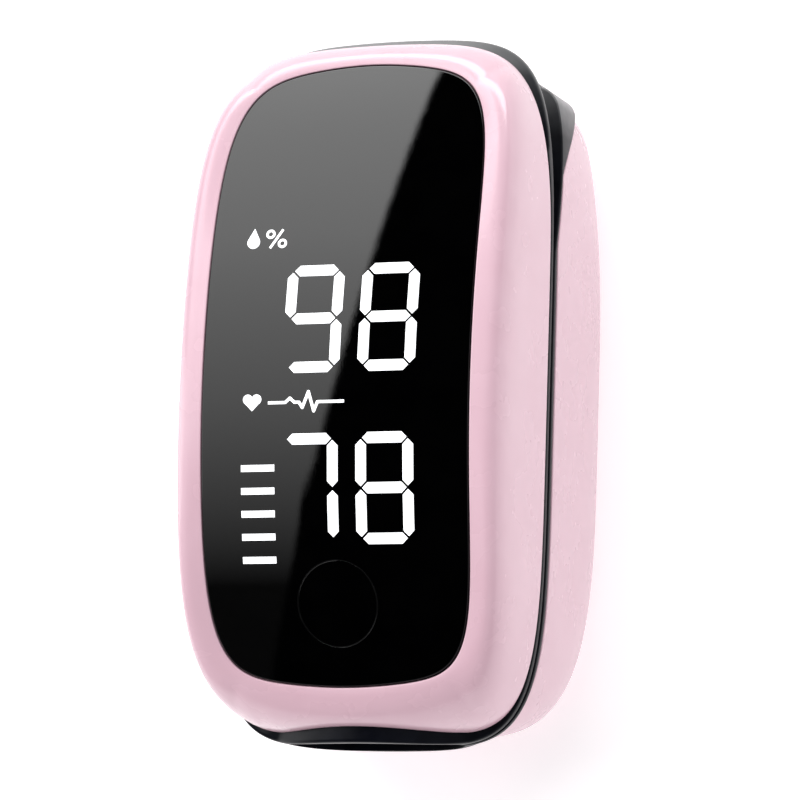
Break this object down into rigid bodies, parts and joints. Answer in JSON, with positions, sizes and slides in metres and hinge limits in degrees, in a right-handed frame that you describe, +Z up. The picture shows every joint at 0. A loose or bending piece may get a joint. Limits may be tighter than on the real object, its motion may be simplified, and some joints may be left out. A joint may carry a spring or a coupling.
{
  "type": "fingertip pulse oximeter",
  "caption": "Spring-hinged fingertip clip with a curved glossy display face, silicone finger channel and sliding battery door.",
  "frame": {"origin": "on the surface that the flat underside rests on, under the middle of the bounding box", "axes": "+Z up through the display face, +Y from the finger opening to the squeezed rear end, X across the width"},
  "size_m": [0.0286, 0.0594, 0.0285],
  "materials": {
    "shell_pink": "glossy moulded pink",
    "glass_black": "polished black acrylic",
    "lit_white": "lit white display marks",
    "key_black": "polished black key",
    "display_body": "black display housing",
    "board_green": "solder-masked circuit board",
    "chip_black": "moulded chip package",
    "part_tan": "ceramic parts",
    "frame_dark": "dark satin frame",
    "silicone_dark": "soft matt silicone",
    "emitter_white": "ceramic LED package",
    "lens_clear": "clear moulded lens",
    "diode_dark": "dark epoxy package",
    "steel": "plain steel",
    "spring_steel": "spring wire",
    "flex_amber": "amber polyimide ribbon",
    "tray_black": "moulded black carrier",
    "cell_wrap": "plain shrink-wrapped cell",
    "contact_gold": "plated contact strip"
  },
  "bodies": {
    "lower_half": {"lower_shell": "shell_pink", "lower_frame": "frame_dark", "lower_pad": "silicone_dark", "sensor_lens": "lens_clear", "photodiode": "diode_dark", "sensor_board": "board_green", "hinge_pin": "steel", "clamp_spring": "spring_steel", "flex_cable": "flex_amber", "lower_screws": "steel", "battery_tray": "tray_black", "battery_left": "cell_wrap", "battery_right": "cell_wrap", "battery_springs": "spring_steel", "battery_contact": "contact_gold"},
    "upper_half": {"upper_shell": "shell_pink", "display_window": "glass_black", "lit_digits": "lit_white", "pulse_bars": "lit_white", "heart_mark": "lit_white", "unit_marks": "lit_white", "led_display": "display_body", "main_board": "board_green", "controller_chip": "chip_black", "board_parts": "part_tan", "dome_switch": "steel", "upper_frame": "frame_dark", "upper_pad": "silicone_dark", "light_emitter": "emitter_white", "emitter_lens": "lens_clear", "upper_screws": "steel"},
    "power_key": {"power_button": "key_black"},
    "door": {"battery_door": "shell_pink"}
  },
  "joints": [
    {"name": "clamp_hinge", "type": "hinge", "parent": "lower_half", "child": "upper_half", "pos_m": [0, 0.011, 0.016], "axis": [-1, 0, 0], "range_deg": [0, 13.5], "stiffness_Nm_per_rad": 0.1, "springref_deg": -28.65, "deforming": ["clamp_spring", "flex_cable"]},
    {"name": "key_press", "type": "slide", "parent": "upper_half", "child": "power_key", "axis": [0, 0, -1], "range_m": [0, 0.0003], "stiffness_N_per_m": 600},
    {"name": "door_slide", "type": "slide", "parent": "lower_half", "child": "door", "axis": [0, 1, 0], "range_m": [0, 0.006]}
  ]
}
